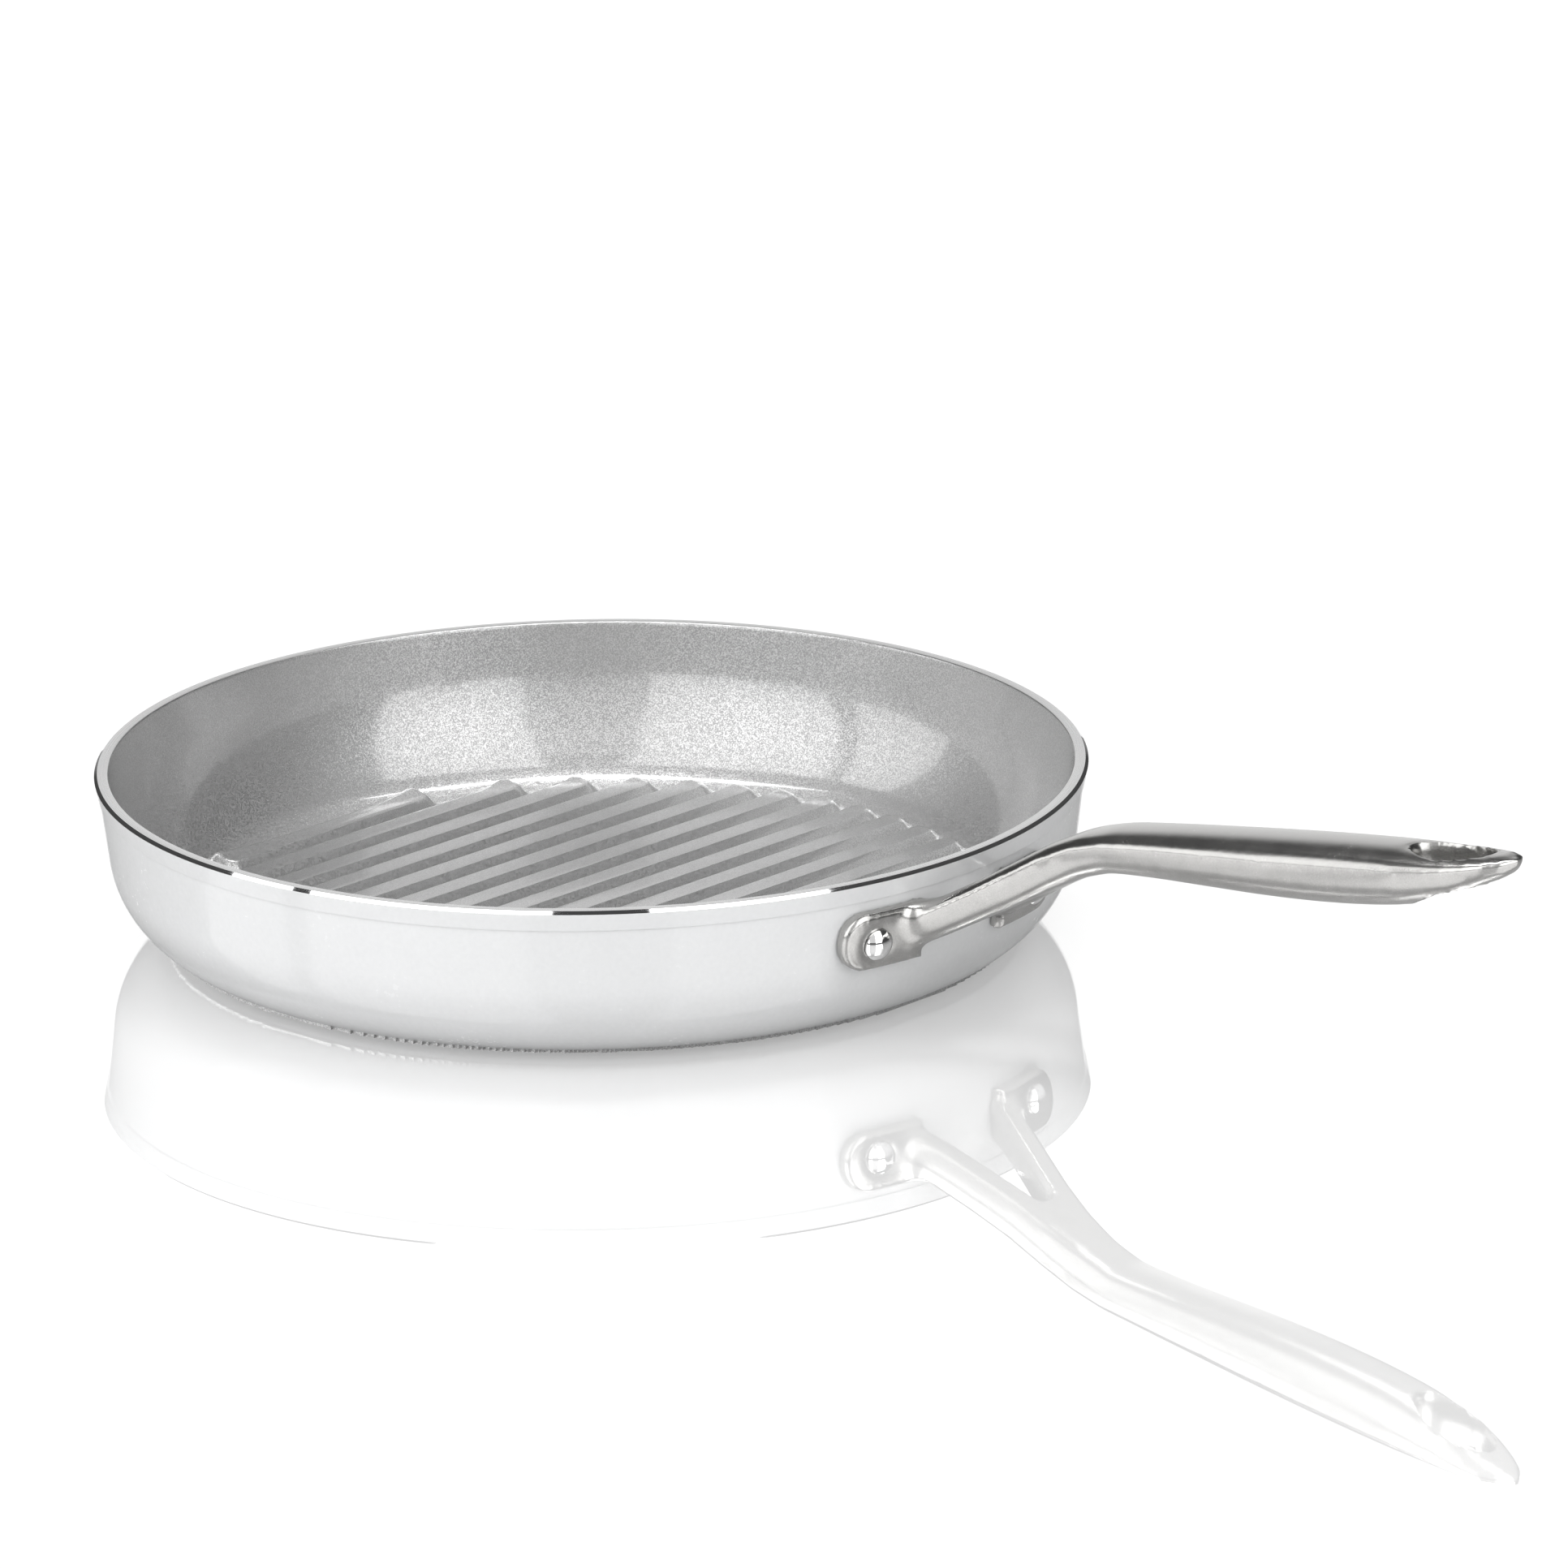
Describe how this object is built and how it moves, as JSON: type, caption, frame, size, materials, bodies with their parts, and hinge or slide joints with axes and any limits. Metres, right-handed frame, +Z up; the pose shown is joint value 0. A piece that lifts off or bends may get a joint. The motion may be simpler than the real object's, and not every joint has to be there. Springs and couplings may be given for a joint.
{
  "type": "round grill pan",
  "caption": "Round ribbed frying pan with a straight-sided wall and a cast handle riveted on by two arms, with a slot for hanging at its tip.",
  "frame": {"origin": "centre of the flat underside of the base, on the pan's axis", "axes": "+Z up along the pan's axis, +X from the pan along the handle, ribs parallel to Y"},
  "size_m": [0.4762, 0.28, 0.0879],
  "materials": {
    "pan_body": "white gloss enamel outside, grey sparkling ceramic inside, bare satin rim",
    "induction_plate": "turned satin",
    "handle": "satin, polished on its top",
    "rivet_left": "polished",
    "rivet_right": "polished"
  },
  "bodies": {
    "root": {"pan_body": "pan_body", "induction_plate": "induction_plate", "handle": "handle", "rivet_left": "rivet_left", "rivet_right": "rivet_right"}
  },
  "joints": []
}
